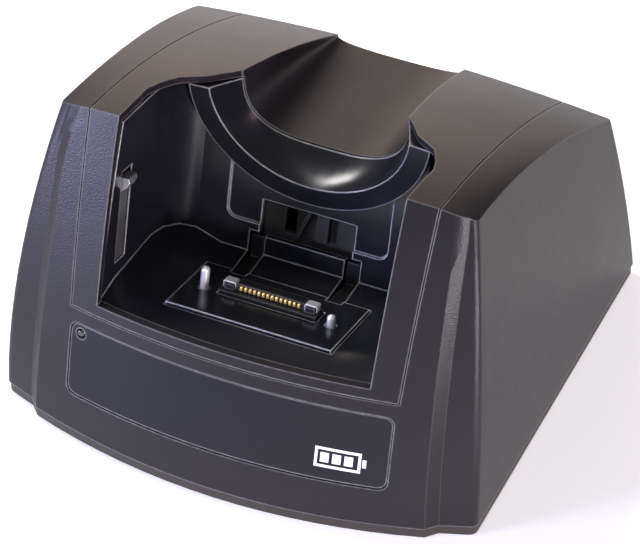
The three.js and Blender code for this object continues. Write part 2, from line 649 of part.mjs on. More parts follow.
add(group, 'ballast_plate', box(-46, 46, -46, 0, BASE.highZ + GAP, 7.2), finish.iron);
add(group, 'main_board', box(-56, 56, 3, 64, 12 + GAP, 14), finish.board);

function dcJack() {
  const body = boxSolid(-39, -29, 56, 66.4, 14.4, JACK_Z + 5);
  const nose = sleeve(-34, JACK_Z, 5, 66, 69.8, 28);
  const bore = sleeve(-34, JACK_Z, 3.1, 60, 80, 24);
  const pin = sleeve(-34, JACK_Z, 1, 59, 68.4, 16);
  return join(cut(join(body, nose), bore), pin);
}
add(group, 'dc_jack', dcJack(), finish.housing);

function usbSocket() {
  const can = boxSolid(-6.6, 6.6, 55, 69.4, 15.4, JACK_Z + 5.8);
  const mouth = boxSolid(-4.6, 4.6, 59, 80, JACK_Z - 4.2, JACK_Z + 4.2);
  const tongue = boxSolid(-2.8, 2.8, 58.5, 68, JACK_Z - 1.6, JACK_Z + 1.6);
  return join(cut(can, mouth), tongue);
}
add(group, 'usb_socket', usbSocket(), finish.steel);

function serialSocket() {
  const flange = boxSolid(19.6, 50.4, 67.4, 68.4, JACK_Z - 6.4, JACK_Z + 6.4);
  const body = boxSolid(26, 44, 56, 67.6, 14.4, JACK_Z + 5);
  const face = [[26.8, JACK_Z - 3.6], [43.2, JACK_Z - 3.6], [44.6, JACK_Z + 3.8], [25.4, JACK_Z + 3.8]];
  const shellPart = toSolid(loft([67, 71.4].map((y) => face.map(([x, z]) => [x, y, z])), [0, 2]));
  const mouth = face.map(([x, z]) => [35 + (x - 35) * 0.94, JACK_Z + (z - JACK_Z) * 0.88]);
  const hollow = toSolid(loft([66, 80].map((y) => mouth.map(([x, z]) => [x, y, z])), [0, 2]));
  const holes = [22.5, 47.5].map((x) => sleeve(x, JACK_Z, 1.4, 60, 80, 16));
  const rows = [[5, 1.3, 0], [4, -1.5, 0]];
  const pins = rows.flatMap(([count, dz]) => Array.from({ length: count }, (_, i) => (
    sleeve(35 + (i - (count - 1) / 2) * 2.7, JACK_Z + dz, 0.5, 65.5, 70.6, 8))));
  return join(cut(join(flange, body, shellPart), hollow, ...holes), ...pins);
}
add(group, 'serial_socket', serialSocket(), finish.steel);

function ribbon() {
  const centre = [[-31, 31.4], [-30, 25.4], [-24, 19], [-12, 17.2], [0, 17], [10, 16.4], [18, 16]];
  const path = new THREE.CatmullRomCurve3(centre.map(([y, z]) => new THREE.Vector3(0, y, z)));
  const rings = path.getPoints(16).map((point, i, all) => {
    const ahead = all[Math.min(i + 1, all.length - 1)].clone().sub(all[Math.max(i - 1, 0)]).normalize();
    const [ny, nz] = [-ahead.z * 0.4, ahead.y * 0.4];
    return [[-10, -1], [10, -1], [10, 1], [-10, 1]].map(([x, s]) => [x, point.y + s * ny, point.z + s * nz]);
  });
  return loft(rings, [0, 2]);
}
add(group, 'connector_ribbon', ribbon(), finish.ribbon);

export default group;
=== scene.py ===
"""Looks of a desktop cradle for a handheld terminal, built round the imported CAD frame.

Metres, +Z up, +X to the right of the front, +Y to the rear, desk at Z = 0.
"""

import json
import logging
import math
from dataclasses import dataclass
from enum import Enum

import bmesh
import bpy
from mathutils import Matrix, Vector
from mathutils.bvhtree import BVHTree

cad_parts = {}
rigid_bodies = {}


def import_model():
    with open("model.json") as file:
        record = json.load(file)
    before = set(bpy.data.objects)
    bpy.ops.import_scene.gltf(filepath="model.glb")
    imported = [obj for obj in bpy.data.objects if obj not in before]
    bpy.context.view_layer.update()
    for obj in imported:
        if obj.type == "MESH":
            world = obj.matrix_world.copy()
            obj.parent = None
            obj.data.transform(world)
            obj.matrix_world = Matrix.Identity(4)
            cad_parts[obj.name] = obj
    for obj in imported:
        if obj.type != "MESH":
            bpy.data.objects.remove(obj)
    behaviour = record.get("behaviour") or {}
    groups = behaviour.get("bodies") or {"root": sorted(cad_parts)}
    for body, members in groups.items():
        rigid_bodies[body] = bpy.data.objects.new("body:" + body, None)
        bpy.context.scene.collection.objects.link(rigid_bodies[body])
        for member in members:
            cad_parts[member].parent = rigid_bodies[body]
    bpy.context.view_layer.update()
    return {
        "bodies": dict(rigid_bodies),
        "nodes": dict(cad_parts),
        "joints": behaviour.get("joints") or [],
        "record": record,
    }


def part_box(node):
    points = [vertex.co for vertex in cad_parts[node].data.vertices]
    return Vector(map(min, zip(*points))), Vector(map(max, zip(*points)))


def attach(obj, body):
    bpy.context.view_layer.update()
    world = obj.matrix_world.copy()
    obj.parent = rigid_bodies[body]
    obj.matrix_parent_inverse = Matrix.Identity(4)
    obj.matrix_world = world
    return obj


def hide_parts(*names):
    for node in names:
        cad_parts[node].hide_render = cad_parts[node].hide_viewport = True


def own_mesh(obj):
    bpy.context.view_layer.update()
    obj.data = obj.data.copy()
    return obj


logging.basicConfig(level=logging.INFO, format="%(message)s")
log = logging.getLogger("cradle")

MM = 0.001
EDGE_ANGLE = 35
EDGE_STEPS = 2
SMOOTH_ANGLE = 32
FACE_WEIGHT = 80
# How far the painted edge highlight reaches from an edge, and over what change of normal it fades in.
EDGE_REACH = 0.8 * MM
EDGE_FADE = (0.01, 0.16)
BUMP_DEPTH = 0.4 * MM
COAT_ROUGHNESS = 0.08
MOTTLE_PER_METRE = 70
# Size and stretch of the streak noise that varies roughness and makes the painted edge highlight patchy.
WEAR_AND_HIGHLIGHT_PER_METRE = 420
WEAR_AND_HIGHLIGHT_STRETCH = (1, 0.25, 1)
WAVE_PER_METRE = 260
Colour = tuple[float, float, float]
Point = tuple[float, float, float]


class Side(Enum):
    """The two sides of the cradle, with the sign of their X."""

    LEFT = -1
    RIGHT = 1


class Grain(Enum):
    """How a moulded surface was textured in its tool."""

    SPARK = "spark"
    POLISHED = "polished"
    MATTE = "matte"


# ---------------------------------------------------------------- shader maths
class Wire:
    """A shader socket that Python's operators can be used on."""

    def __init__(self, kit: "NodeKit", socket: bpy.types.NodeSocket) -> None:
        """Keep the socket and the tree it belongs to.

        Args:
            kit: the node kit that adds nodes to the tree.
            socket: the output socket to wrap.
        """
        self.kit = kit
        self.socket = socket

    def _math(self, operation: str, first: object, second: object) -> "Wire":
        """Add one Math node.

        Args:
            operation: the Math node's operation.
            first: the upper input, a Wire or a number.
            second: the lower input, a Wire or a number.

        Returns:
            The node's result.
        """
        return self.kit.add("ShaderNodeMath", {"operation": operation}, {0: first, 1: second})

    def __add__(self, other: object) -> "Wire":
        """Sum."""
        return self._math("ADD", self, other)

    __radd__ = __add__

    def __mul__(self, other: object) -> "Wire":
        """Product."""
        return self._math("MULTIPLY", self, other)

    __rmul__ = __mul__

    def __sub__(self, other: object) -> "Wire":
        """Difference."""
        return self._math("SUBTRACT", self, other)

    def __rsub__(self, other: object) -> "Wire":
        """Difference with the wire on the right."""
        return self._math("SUBTRACT", other, self)


class NodeKit:
    """Adds nodes to one material's tree."""

    def __init__(self, tree: bpy.types.NodeTree) -> None:
        """Keep the tree."""
        self.tree = tree

    def add(self, kind: str, settings: dict | None = None, inputs: dict | None = None,
            output: int | str = 0) -> Wire:
        """Add a node, set it up and feed it.

        Args:
            kind: the node's type.
            settings: attributes of the node.
            inputs: socket index or name to a Wire or a plain value.
            output: which output to return.

        Returns:
            The chosen output as a Wire.
        """
        node = self.tree.nodes.new(kind)
        for key, value in (settings or {}).items():
            setattr(node, key, value)
        for key, value in (inputs or {}).items():
            if isinstance(value, Wire):
                self.tree.links.new(value.socket, node.inputs[key])
            else:
                node.inputs[key].default_value = value
        return Wire(self, node.outputs[output])

    def place(self, scale: Point = (1, 1, 1)) -> Wire:
        """Object coordinates through a Mapping node.

        Args:
            scale: the mapping's scale.

        Returns:
            The mapped vector.
        """
        origin = self.add("ShaderNodeTexCoord", output="Object")
        return self.add("ShaderNodeMapping", {}, {"Vector": origin, "Scale": scale})

    def noise(self, per_metre: float, detail: float = 4, stretch: Point = (1, 1, 1)) -> Wire:
        """A noise pattern.

        Args:
            per_metre: how many features fit in a metre.
            detail: the number of octaves.
            stretch: how the pattern is squeezed along each axis.

        Returns:
            The factor, about 0 to 1.
        """
        return self.add("ShaderNodeTexNoise", {}, {
            "Vector": self.place(stretch), "Scale": per_metre, "Detail": detail})

    def cells(self, per_metre: float) -> Wire:
        """A Voronoi pattern's distance.

        Args:
            per_metre: how many cells fit in a metre.

        Returns:
            The distance to the nearest cell point.
        """
        return self.add("ShaderNodeTexVoronoi", {}, {"Vector": self.place(), "Scale": per_metre})

    def edges(self, width: float) -> Wire:
        """Where a convex edge or a corner is near.

        Args:
            width: how far from the edge it reaches, in metres.

        Returns:
            The mask, 0 on flat ground.
        """
        true = self.add("ShaderNodeNewGeometry", output="Normal")
        soft = self.add("ShaderNodeBevel", {"samples": 6}, {"Radius": width})
        match = self.add("ShaderNodeVectorMath", {"operation": "DOT_PRODUCT"}, {0: true, 1: soft}, "Value")
        return self.add("ShaderNodeMapRange", {"clamp": True}, {
            "Value": 1 - match, "From Min": EDGE_FADE[0], "From Max": EDGE_FADE[1]})

    def blend(self, low: Wire, share: Wire, high: Colour) -> Wire:
        """Lay a colour over a wired one.

        Args:
            low: the colour below.
            share: how much of the upper colour shows.
            high: the upper colour.

        Returns:
            The blended colour.
        """
        return self.add("ShaderNodeMix", {"data_type": "RGBA"}, {0: share, 6: low, 7: (*high, 1)}, 2)

    def between(self, low: Colour, high: Colour, share: Wire) -> Wire:
        """Blend two colours.

        Args:
            low: the colour where share is 0.
            high: the colour where share is 1.
            share: the blend factor.

        Returns:
            The blended colour.
        """
        return self.add("ShaderNodeMix", {"data_type": "RGBA"}, {0: share, 6: (*low, 1), 7: (*high, 1)}, 2)


@dataclass(frozen=True)
class Finish:
    """A surface: its colour, how it scatters light, its fine relief, and a light highlight painted along
    its convex edges.
    """

    name: str
    colour: Colour
    tint: Colour
    roughness: float
    spread: float = 0.06
    metallic: float = 0.0
    grain: Grain = Grain.MATTE
    relief: float = 0.02
    pitch: float = 2600
    edge: float = 0.00035
    # The next two settings paint a light highlight into the colour along convex edges, standing in for
    # light catching them: its strength and its colour.
    painted_edge_highlight: float = 0.0
    painted_highlight_colour: Colour = (0.30, 0.29, 0.30)
    coat: float = 0.0
    specular: float = 0.5

    def material(self) -> bpy.types.Material:
        """Build the material once and hand it out.

        Returns:
            The Blender material.
        """
        made = bpy.data.materials.get(self.name)
        if made:
            return made
        made = bpy.data.materials.new(self.name)
        made.use_nodes = True
        kit = NodeKit(made.node_tree)
        surface = made.node_tree.nodes["Principled BSDF"]
        mottle = kit.noise(MOTTLE_PER_METRE, 5)
        # Streak noise: it varies the roughness and makes the painted edge highlight patchy.
        wear_and_highlight_streaks = kit.noise(WEAR_AND_HIGHLIGHT_PER_METRE, 3, WEAR_AND_HIGHLIGHT_STRETCH)
        shade = kit.between(self.colour, self.tint, mottle)
        # Painted highlight: a lighter colour laid along convex edges, standing in for light catching the
        # edges.
        if self.painted_edge_highlight:
            painted_highlight_mask = kit.edges(EDGE_REACH) * self.painted_edge_highlight * (wear_and_highlight_streaks * 0.5 + 0.1)
            shade = kit.blend(shade, painted_highlight_mask, self.painted_highlight_colour)
        rough = mottle * self.spread + wear_and_highlight_streaks * (self.spread * 0.6) + (self.roughness - self.spread * 0.8)
        rounded = kit.add("ShaderNodeBevel", {"samples": 4}, {"Radius": self.edge})
        height = self._height(kit)
        bump = kit.add("ShaderNodeBump", {}, {
            "Strength": self.relief, "Distance": BUMP_DEPTH, "Height": height, "Normal": rounded})
        for socket, wire in (("Base Color", shade), ("Roughness", rough), ("Normal", bump)):
            made.node_tree.links.new(wire.socket, surface.inputs[socket])
        surface.inputs["Metallic"].default_value = self.metallic
        surface.inputs["Coat Weight"].default_value = self.coat
        surface.inputs["Coat Roughness"].default_value = COAT_ROUGHNESS
        surface.inputs["Specular IOR Level"].default_value = self.specular
        return made

    def _height(self, kit: NodeKit) -> Wire:
        """The relief of this grain.

        Args:
            kit: the material's node kit.

        Returns:
            The height, 0 to 1.
        """
        if self.grain is Grain.SPARK:
            return kit.cells(self.pitch) * 0.7 + kit.noise(self.pitch * 0.6, 2) * 0.6
        if self.grain is Grain.POLISHED:
            return kit.noise(WAVE_PER_METRE, 2) * 0.8 + kit.noise(self.pitch, 2) * 0.05
        return kit.noise(self.pitch, 4)


# Several finishes below paint a light highlight into the colour along their convex edges, with a strength
# and a colour of its own.
SHELL = Finish("shell_satin", (0.0122, 0.0104, 0.0128), (0.0160, 0.0135, 0.0165), 0.36, 0.07,
               grain=Grain.SPARK, relief=0.16, pitch=2400, edge=0.0006, painted_edge_highlight=1.6, specular=0.24)
BEZEL = Finish("bezel_satin", (0.0118, 0.0102, 0.0126), (0.0155, 0.0132, 0.0162), 0.36, 0.07,
               grain=Grain.SPARK, relief=0.15, pitch=2500, edge=0.0006, painted_edge_highlight=1.8, specular=0.24)
LINER = Finish("liner_gloss", (0.0075, 0.0080, 0.0115), (0.0110, 0.0115, 0.0160), 0.24, 0.05,
               grain=Grain.POLISHED, relief=0.04, edge=0.0007, painted_edge_highlight=2.0, painted_highlight_colour=(0.62, 0.62, 0.64))
PLATE = Finish("plate_gloss", (0.008, 0.009, 0.012), (0.012, 0.013, 0.017), 0.2, 0.05,
               grain=Grain.POLISHED, relief=0.05, edge=0.0005, painted_edge_highlight=2.2, painted_highlight_colour=(0.95, 0.95, 0.97))
LABEL = Finish("label_film", (0.010, 0.010, 0.0145), (0.013, 0.013, 0.018), 0.32, 0.05,
               grain=Grain.POLISHED, relief=0.04, edge=0.0002, painted_edge_highlight=2.0, specular=0.2)
BASE = Finish("base_plastic", (0.020, 0.014, 0.012), (0.028, 0.020, 0.017), 0.5, 0.1,
              grain=Grain.SPARK, relief=0.12, edge=0.0004)
MOULDED = Finish("moulded_black", (0.005, 0.005, 0.006), (0.009, 0.009, 0.010), 0.38, 0.1,
                 relief=0.05, edge=0.00015, painted_edge_highlight=0.8)
RUBBER = Finish("foot_rubber", (0.012, 0.012, 0.012), (0.024, 0.023, 0.022), 0.85, 0.1, relief=0.3)
STEEL = Finish("spring_steel", (0.62, 0.62, 0.64), (0.74, 0.74, 0.75), 0.42, 0.15, 1.0,
               relief=0.06, edge=0.0002)
NICKEL = Finish("nickel_plate", (0.90, 0.89, 0.87), (0.96, 0.95, 0.93), 0.34, 0.08, 0.6,
                relief=0.03, edge=0.0002)
GOLD = Finish("contact_gold", (0.86, 0.56, 0.18), (0.95, 0.68, 0.28), 0.3, 0.1, 0.5,
              relief=0.03, edge=0.0001)
IRON = Finish("phosphated_iron", (0.035, 0.035, 0.037), (0.06, 0.058, 0.055), 0.5, 0.15, 0.5, relief=0.15,
              painted_edge_highlight=0.5)
BOARD = Finish("board_green", (0.010, 0.055, 0.022), (0.018, 0.085, 0.033), 0.35, 0.1, relief=0.1)
AMBER = Finish("ribbon_film", (0.30, 0.12, 0.02), (0.38, 0.17, 0.04), 0.3, 0.08)
LENS = Finish("dark_lens", (0.004, 0.006, 0.005), (0.008, 0.012, 0.009), 0.06, 0.02, edge=0.0001, coat=0.8)
INK = Finish("mark_white", (0.72, 0.72, 0.74), (0.80, 0.80, 0.82), 0.4, 0.06, edge=0.00005)


# ---------------------------------------------------------------- geometry nodes
class Recipe:
    """A geometry node tree built in code, with named sizes."""

    def __init__(self, name: str, **sizes: float | int | Point) -> None:
        """Start the tree and give it one input per size.

        Args:
            name: the tree's name.
            sizes: the inputs and their values; the kind of value sets the kind of socket.
        """
        self.sizes = sizes
        self.tree = bpy.data.node_groups.new(name, "GeometryNodeTree")
        self.tree.interface.new_socket("Geometry", in_out="OUTPUT", socket_type="NodeSocketGeometry")
        for key, value in sizes.items():
            kind = {int: "NodeSocketInt", float: "NodeSocketFloat"}.get(type(value), "NodeSocketVector")
            self.tree.interface.new_socket(key, in_out="INPUT", socket_type=kind)
        self.entry = self.tree.nodes.new("NodeGroupInput")

    def size(self, key: str) -> bpy.types.NodeSocket:
        """The socket of a named size."""
        return self.entry.outputs[key]

    def add(self, kind: str, settings: dict | None = None, inputs: dict | None = None,
            output: int | str = 0) -> bpy.types.NodeSocket:
        """Add a node, set it up and feed it.

        Args:
            kind: the node's type.
            settings: attributes of the node.
            inputs: socket index or name to a socket, several sockets or a plain value.
            output: which output to return.

        Returns:
            The chosen output socket.
        """
        node = self.tree.nodes.new(kind)
        for key, value in (settings or {}).items():
            setattr(node, key, value)
        for key, value in (inputs or {}).items():
            sockets = value if isinstance(value, list) else [value]
            if isinstance(sockets[0], bpy.types.NodeSocket):
                for socket in sockets:
                    self.tree.links.new(socket, node.inputs[key])
            else:
                node.inputs[key].default_value = value
        return node.outputs[output]

    def bake(self, shape: bpy.types.NodeSocket, piece: str, finish: "Finish") -> bpy.types.Object:
        """Close the tree, run it and keep the result as plain mesh.

        Args:
            shape: the geometry to hand out.
            piece: the new piece's name.
            finish: its finish.

        Returns:
            The new piece.
        """
        real = self.add("GeometryNodeRealizeInstances", {}, {0: shape})
        dressed = self.add("GeometryNodeSetMaterial", {}, {"Geometry": real, "Material": finish.material()})
        exit_node = self.tree.nodes.new("NodeGroupOutput")
        self.tree.links.new(dressed, exit_node.inputs[0])
        made = add_object(piece, bpy.data.meshes.new(piece))
        modifier = made.modifiers.new("recipe", "NODES")
        modifier.node_group = self.tree
        for item in self.tree.interface.items_tree:
            if item.item_type == "SOCKET" and item.in_out == "INPUT":
                modifier[item.identifier] = self.sizes[item.name]
        bake_modifiers(made)
        return made


# ---------------------------------------------------------------- mesh work
def add_object(name: str, mesh: bpy.types.Mesh) -> bpy.types.Object:
    """Link a mesh into the scene.

    Args:
        name: the object's name.
        mesh: its mesh.

    Returns:
        The new object.
    """
    made = bpy.data.objects.new(name, mesh)
    bpy.context.scene.collection.objects.link(made)
    return made


def bake_modifiers(piece: bpy.types.Object) -> None:
    """Turn a piece's modifiers into plain mesh.

    Args:
        piece: the object to change.
    """
    graph = bpy.context.evaluated_depsgraph_get()
    mesh = bpy.data.meshes.new_from_object(piece.evaluated_get(graph))
    old = piece.data
    piece.modifiers.clear()
    piece.data = mesh
    bpy.data.meshes.remove(old)


def smooth(piece: bpy.types.Object, angle: float = SMOOTH_ANGLE) -> None:
    """Shade smoothly, apart from edges sharper than an angle.

    Args:
        piece: the object to shade.
        angle: the sharpness limit in degrees.
    """
    piece.data.shade_smooth()
    piece.data.set_sharp_from_angle(angle=math.radians(angle))


@dataclass
class Assembly:
    """What every sub-assembly can do with the frame's nodes."""

    frame: dict

    def clean_copy(self, node: str) -> bpy.types.Mesh:
        """A merged copy of a CAD node's mesh.

        Args:
            node: the CAD node's name.

        Returns:
            The merged mesh, without flat splits.
        """
        work = bmesh.new()
        work.from_mesh(self.frame["nodes"][node].data)
        bmesh.ops.remove_doubles(work, verts=work.verts, dist=4e-6)
        bmesh.ops.dissolve_degenerate(work, edges=work.edges, dist=4e-6)
        bmesh.ops.dissolve_limit(work, angle_limit=math.radians(0.5), verts=work.verts, edges=work.edges)
        mesh = bpy.data.meshes.new(node)
        work.to_mesh(mesh)
        work.free()
        return mesh

    def refine(self, node: str, body: str, finish: Finish, edge: float,
               angle: float = EDGE_ANGLE) -> bpy.types.Object:
        """Replace a CAD node by a copy with rounded edges.

        Args:
            node: the CAD node's name.
            body: the body it rides on.
            finish: its finish.
            edge: the width of the rounding, in metres.
            angle: edges sharper than this many degrees are rounded and kept crisp.

        Returns:
            The new piece.
        """
        piece = add_object(f"{node}_skin", self.clean_copy(node))
        bevel = piece.modifiers.new("edges", "BEVEL")
        bevel.width = edge
        bevel.segments = EDGE_STEPS
        bevel.limit_method = "ANGLE"
        bevel.angle_limit = math.radians(angle)
        bevel.use_clamp_overlap = True
        bake_modifiers(piece)
        smooth(piece, min(angle, SMOOTH_ANGLE))
        weigh = piece.modifiers.new("weights", "WEIGHTED_NORMAL")
        weigh.weight = FACE_WEIGHT
        weigh.keep_sharp = True
        bake_modifiers(piece)
        self.hand_over(piece, body, finish, node)
        return piece

    def hand_over(self, piece: bpy.types.Object, body: str, finish: Finish, *nodes: str) -> None:
        """Dress a piece, hang it on its body and hide the CAD nodes it stands for.

        Args:
            piece: the finished object.
            body: the body it rides on.
            finish: its finish.
            nodes: the CAD nodes it stands for.
        """
        piece.data.materials.clear()
        piece.data.materials.append(finish.material())
        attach(piece, body)
        if nodes:
            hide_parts(*nodes)
        log.info("piece %s on %s", piece.name, body)


@dataclass
class Casing(Assembly):
    """The outer shell, the bezel, the base and what is fixed to them."""

    edge: float = 0.5 * MM
    shell_angle: float = 20
    screw_head: float = 1.05 * MM
    screw_shank: float = 1.4 * MM
    cross_reach: float = 1.3
    cross_width: float = 0.3
    cross_drop: float = 0.6
    shank_lift: float = 0.2
    foot_rings: int = 5
    foot_rib: float = 0.22 * MM
    foot_ring_share: float = 0.94
    foot_seat: float = 1.02
    mark_size: float = 6.4 * MM
    mark_inset: float = 3.3
    mark_rise: float = 0.62
    mark_line: float = 0.13
    mark_width: float = 2.1
    mark_cells: int = 3
    ink_depth: float = 0.03 * MM
    ray_start: float = 5 * MM

    def build(self) -> None:
        """Make every piece of the casing."""
        self.refine("outer_shell", "cradle", SHELL, self.edge, self.shell_angle)
        self.refine("centre_bezel", "cradle", BEZEL, self.edge)
        label = self.refine("label_panel", "cradle", LABEL, 0.15 * MM)
        self.refine("base_plate", "cradle", BASE, 0.4 * MM)
        self.refine("status_light", "cradle", LENS, 0.1 * MM)
        self.screws()
        for number in range(1, 5):
            self.foot(f"foot_{number}")
        self.mark(label)

    def screws(self) -> None:
        """Four pan head screws with a cross recess, at the corners of the base."""
        low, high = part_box("base_screw_1")
        far_low, far_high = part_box("base_screw_4")
        head = (high.x - low.x) / 2
        long_side, short_side = head * self.cross_reach, head * self.cross_width
        recipe = Recipe(
            "pan_head_screws", across=far_high.x - low.x - 2 * head, along=far_high.y - low.y - 2 * head,
            head=head, thick=self.screw_head, shank=self.screw_shank, length=high.z - low.z,
            slot=(long_side, short_side, self.screw_head), turned=(short_side, long_side, self.screw_head))
        top = recipe.add("GeometryNodeMeshCylinder", {}, {
            "Vertices": 40, "Radius": recipe.size("head"), "Depth": recipe.size("thick")})
        cuts = [recipe.add("GeometryNodeMeshCube", {}, {"Size": recipe.size(key)})
                for key in ("slot", "turned")]
        sunk = [recipe.add("GeometryNodeTransform", {}, {
            "Geometry": cut, "Translation": (0, 0, -self.screw_head * self.cross_drop)}) for cut in cuts]
        pan = recipe.add("GeometryNodeMeshBoolean", {"operation": "DIFFERENCE"}, {0: top, 1: sunk})
        rod = recipe.add("GeometryNodeMeshCylinder", {}, {
            "Vertices": 24, "Radius": recipe.size("shank"), "Depth": recipe.size("length")})
        lift = (high.z - low.z) / 2 + self.screw_head * self.shank_lift
        raised = recipe.add("GeometryNodeTransform", {}, {"Geometry": rod, "Translation": (0, 0, lift)})
        one = recipe.add("GeometryNodeJoinGeometry", {}, {0: [pan, raised]})
        corners = recipe.add("GeometryNodeMeshGrid", {}, {
            "Size X": recipe.size("across"), "Size Y": recipe.size("along"),
            "Vertices X": 2, "Vertices Y": 2})
        copies = recipe.add("GeometryNodeInstanceOnPoints", {}, {"Points": corners, "Instance": one})
        middle = Vector((0, (low.y + far_high.y) / 2, low.z + self.screw_head / 2))
        placed = recipe.add("GeometryNodeTransform", {}, {"Geometry": copies, "Translation": middle})
        piece = recipe.bake(placed, "base_screws", STEEL)
        smooth(piece)
        self.hand_over(piece, "cradle", STEEL, *(f"base_screw_{number}" for number in range(1, 5)))

    def foot(self, node: str) -> None:
        """A round rubber foot with raised rings underneath.

        Args:
            node: the foot's CAD node.
        """
        low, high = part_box(node)
        radius = (high.x - low.x) / 2
        recipe = Recipe(f"{node}_recipe", radius=radius, rings=self.foot_rings, rib=self.foot_rib)
        disc = recipe.add("GeometryNodeMeshCylinder", {}, {
            "Vertices": 64, "Radius": recipe.size("radius"), "Depth": high.z - low.z - self.foot_rib})
        lifted = recipe.add("GeometryNodeTransform", {}, {
            "Geometry": disc, "Translation": (0, 0, (high.z - low.z + self.foot_rib) / 2)})
        hoop = recipe.add("GeometryNodeCurvePrimitiveCircle", {"mode": "RADIUS"}, {
            "Resolution": 64, "Radius": radius * self.foot_ring_share})
        section = recipe.add("GeometryNodeCurvePrimitiveCircle", {"mode": "RADIUS"}, {
            "Resolution": 8, "Radius": recipe.size("rib")})
        ring = recipe.add("GeometryNodeCurveToMesh", {}, {"Curve": hoop, "Profile Curve": section})
        spots = recipe.add("GeometryNodeMeshLine", {}, {"Count": recipe.size("rings"), "Offset": (0, 0, 0)})
        index = recipe.add("GeometryNodeInputIndex")
        place = recipe.add("ShaderNodeMath", {"operation": "ADD"}, {0: index, 1: 1.0})
        share = recipe.add("ShaderNodeMath", {"operation": "DIVIDE"}, {0: place, 1: float(self.foot_rings)})
        scale = recipe.add("ShaderNodeCombineXYZ", {}, {"X": share, "Y": share, "Z": 1.0})
        rings = recipe.add("GeometryNodeInstanceOnPoints", {}, {
            "Points": spots, "Instance": ring, "Scale": scale})
        seated = recipe.add("GeometryNodeTransform", {}, {
            "Geometry": rings, "Translation": (0, 0, self.foot_rib * self.foot_seat)})
        whole = recipe.add("GeometryNodeJoinGeometry", {}, {0: [lifted, seated]})
        middle = Vector(((low.x + high.x) / 2, (low.y + high.y) / 2, low.z))
        placed = recipe.add("GeometryNodeTransform", {}, {"Geometry": whole, "Translation": middle})
        piece = recipe.bake(placed, f"{node}_skin", RUBBER)
        smooth(piece)
        self.hand_over(piece, "cradle", RUBBER, node)

    def mark(self, label: bpy.types.Object) -> None:
        """A plain battery sign printed on the label, following its curve.

        Args:
            label: the finished label.
        """
        low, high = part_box("label_panel")
        print_size = self.mark_size
        left, foot = high.x - print_size * self.mark_inset, low.z + print_size * self.mark_rise
        line = print_size * self.mark_line
        width, height = print_size * self.mark_width, print_size
        bars = [
            (0, 0, width, line), (0, height - line, width, height), (0, line, line, height - line),
            (width - line, line, width, height - line),
            (width + line * 0.5, height * 0.3, width + line * 1.8, height * 0.7),
            *((line * (2 + 4.2 * cell), line * 2, line * (5 + 4.2 * cell), height - line * 2)
              for cell in range(self.mark_cells)),
        ]
        surface = BVHTree.FromObject(label, bpy.context.evaluated_depsgraph_get())
        work = bmesh.new()
        for x0, z0, x1, z1 in bars:
            across, up = max(2, round((x1 - x0) / MM) + 1), max(2, round((z1 - z0) / MM) + 1)
            rows = [[self._print_point(work, surface, left + x0 + (x1 - x0) * i / (across - 1),
                                       foot + z0 + (z1 - z0) * j / (up - 1), low.y)
                     for i in range(across)] for j in range(up)]
            for j in range(up - 1):
                for i in range(across - 1):
                    work.faces.new((rows[j][i], rows[j][i + 1], rows[j + 1][i + 1], rows[j + 1][i]))
        mesh = bpy.data.meshes.new("battery_mark")
        work.to_mesh(mesh)
        work.free()
        piece = add_object("battery_mark", mesh)
        body = piece.modifiers.new("ink", "SOLIDIFY")
        body.thickness = self.ink_depth
        body.offset = 1
        bake_modifiers(piece)
        self.hand_over(piece, "cradle", INK)

    def _print_point(self, work: bmesh.types.BMesh, surface: BVHTree, x: float, z: float,
                     y: float) -> bmesh.types.BMVert:
        """Drop one corner of the print on the label.

        Args:
            work: the mesh that takes the corner.
            surface: the label.
            x: where it is across.
            z: how high it is.
            y: the foremost point of the label.

        Returns:
            The new corner.
        """
        hit = surface.ray_cast(Vector((x, y - self.ray_start, z)), Vector((0, 1, 0)))[0]
        return work.verts.new(hit if hit else Vector((x, y, z)))


@dataclass
class Pocket(Assembly):
    """The liner and what is fixed in its walls."""

    def build(self) -> None:
        """Make the liner, the side springs and the bracket."""
        self.refine("pocket_liner", "cradle", LINER, 0.4 * MM)
        self.refine("window_bracket", "cradle", IRON, 0.25 * MM)
        for side in Side:
            node = f"side_spring_{side.name.lower()}"
            self.refine(node, node, STEEL, 0.2 * MM)


